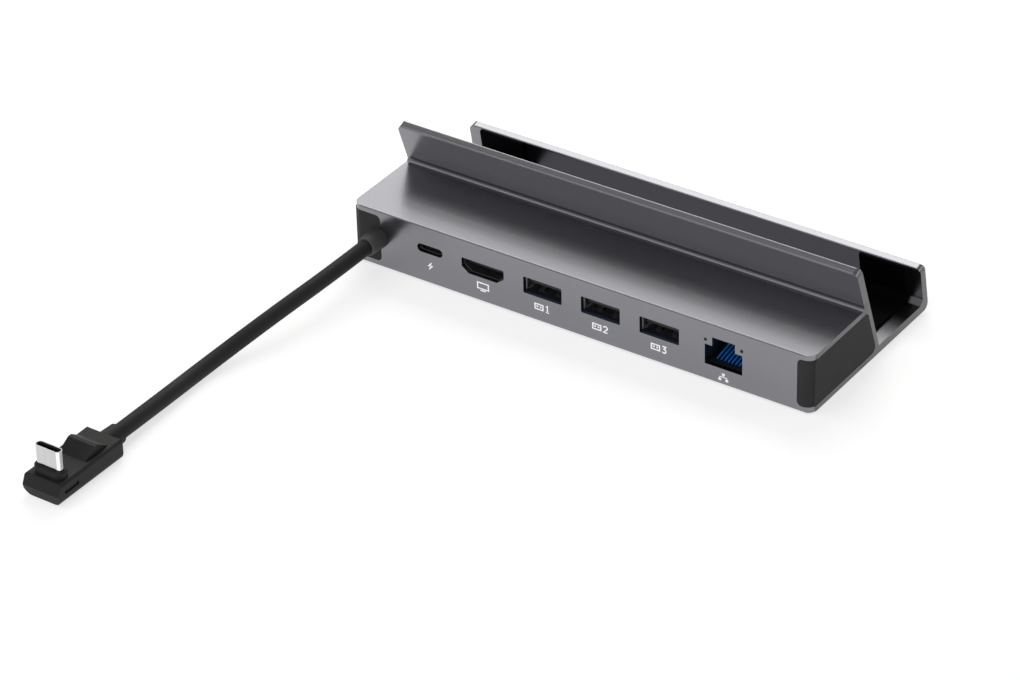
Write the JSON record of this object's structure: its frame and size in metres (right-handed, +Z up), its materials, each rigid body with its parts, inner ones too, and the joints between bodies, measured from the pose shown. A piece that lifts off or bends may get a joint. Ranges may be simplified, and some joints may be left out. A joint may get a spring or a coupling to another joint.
{
  "type": "game console dock",
  "caption": "Low aluminium dock with a leaning back fin and lip that cradle a handheld game console, a row of sockets on its port face and a short cable with a right-angle plug.",
  "frame": {"origin": "on the table, under the middle of the housing with its feet", "axes": "+X along the dock's length, to the right as seen from the sockets; +Y from the sockets towards the lip; +Z up"},
  "size_m": [0.1543, 0.2009, 0.0328],
  "materials": {
    "anodised_aluminium": "satin anodised grey",
    "cap_plastic": "fine matte black",
    "pad_rubber": "black silicone",
    "foot_rubber": "black rubber",
    "board_laminate": "green solder mask",
    "chip_resin": "moulded resin",
    "can_steel": "plain can",
    "socket_steel": "plated sheet",
    "core_plastic": "moulded black",
    "jack_plastic": "moulded black",
    "contact_metal": "blue tinted spring wire",
    "light_pipe": "clear",
    "boot_rubber": "matte black",
    "cable_jacket": "matte black",
    "plug_plastic": "fine matte black",
    "tip_steel": "bright plated"
  },
  "bodies": {
    "root": {"housing": "anodised_aluminium", "left_end_cap": "cap_plastic", "right_end_cap": "cap_plastic", "cradle_pad_left": "pad_rubber", "cradle_pad_right": "pad_rubber", "front_foot_strip": "foot_rubber", "rear_foot_strip": "foot_rubber", "main_board": "board_laminate", "hub_chip": "chip_resin", "video_chip": "chip_resin", "power_chip": "chip_resin", "network_chip": "chip_resin", "network_transformer": "chip_resin", "power_inductor": "chip_resin", "hub_crystal": "can_steel", "power_capacitors": "can_steel", "power_socket_shell": "socket_steel", "power_socket_core": "core_plastic", "power_socket_riser": "core_plastic", "video_socket_shell": "socket_steel", "video_socket_core": "core_plastic", "data_socket_1_shell": "socket_steel", "data_socket_1_core": "core_plastic", "data_socket_2_shell": "socket_steel", "data_socket_2_core": "core_plastic", "data_socket_3_shell": "socket_steel", "data_socket_3_core": "core_plastic", "network_jack_housing": "jack_plastic", "network_jack_contacts": "contact_metal", "link_light_left": "light_pipe", "link_light_right": "light_pipe", "cable_boot": "boot_rubber", "cable_lead": "cable_jacket", "cable": "cable_jacket", "plug_body": "plug_plastic", "plug_shell": "tip_steel", "plug_liner": "core_plastic"}
  },
  "joints": []
}
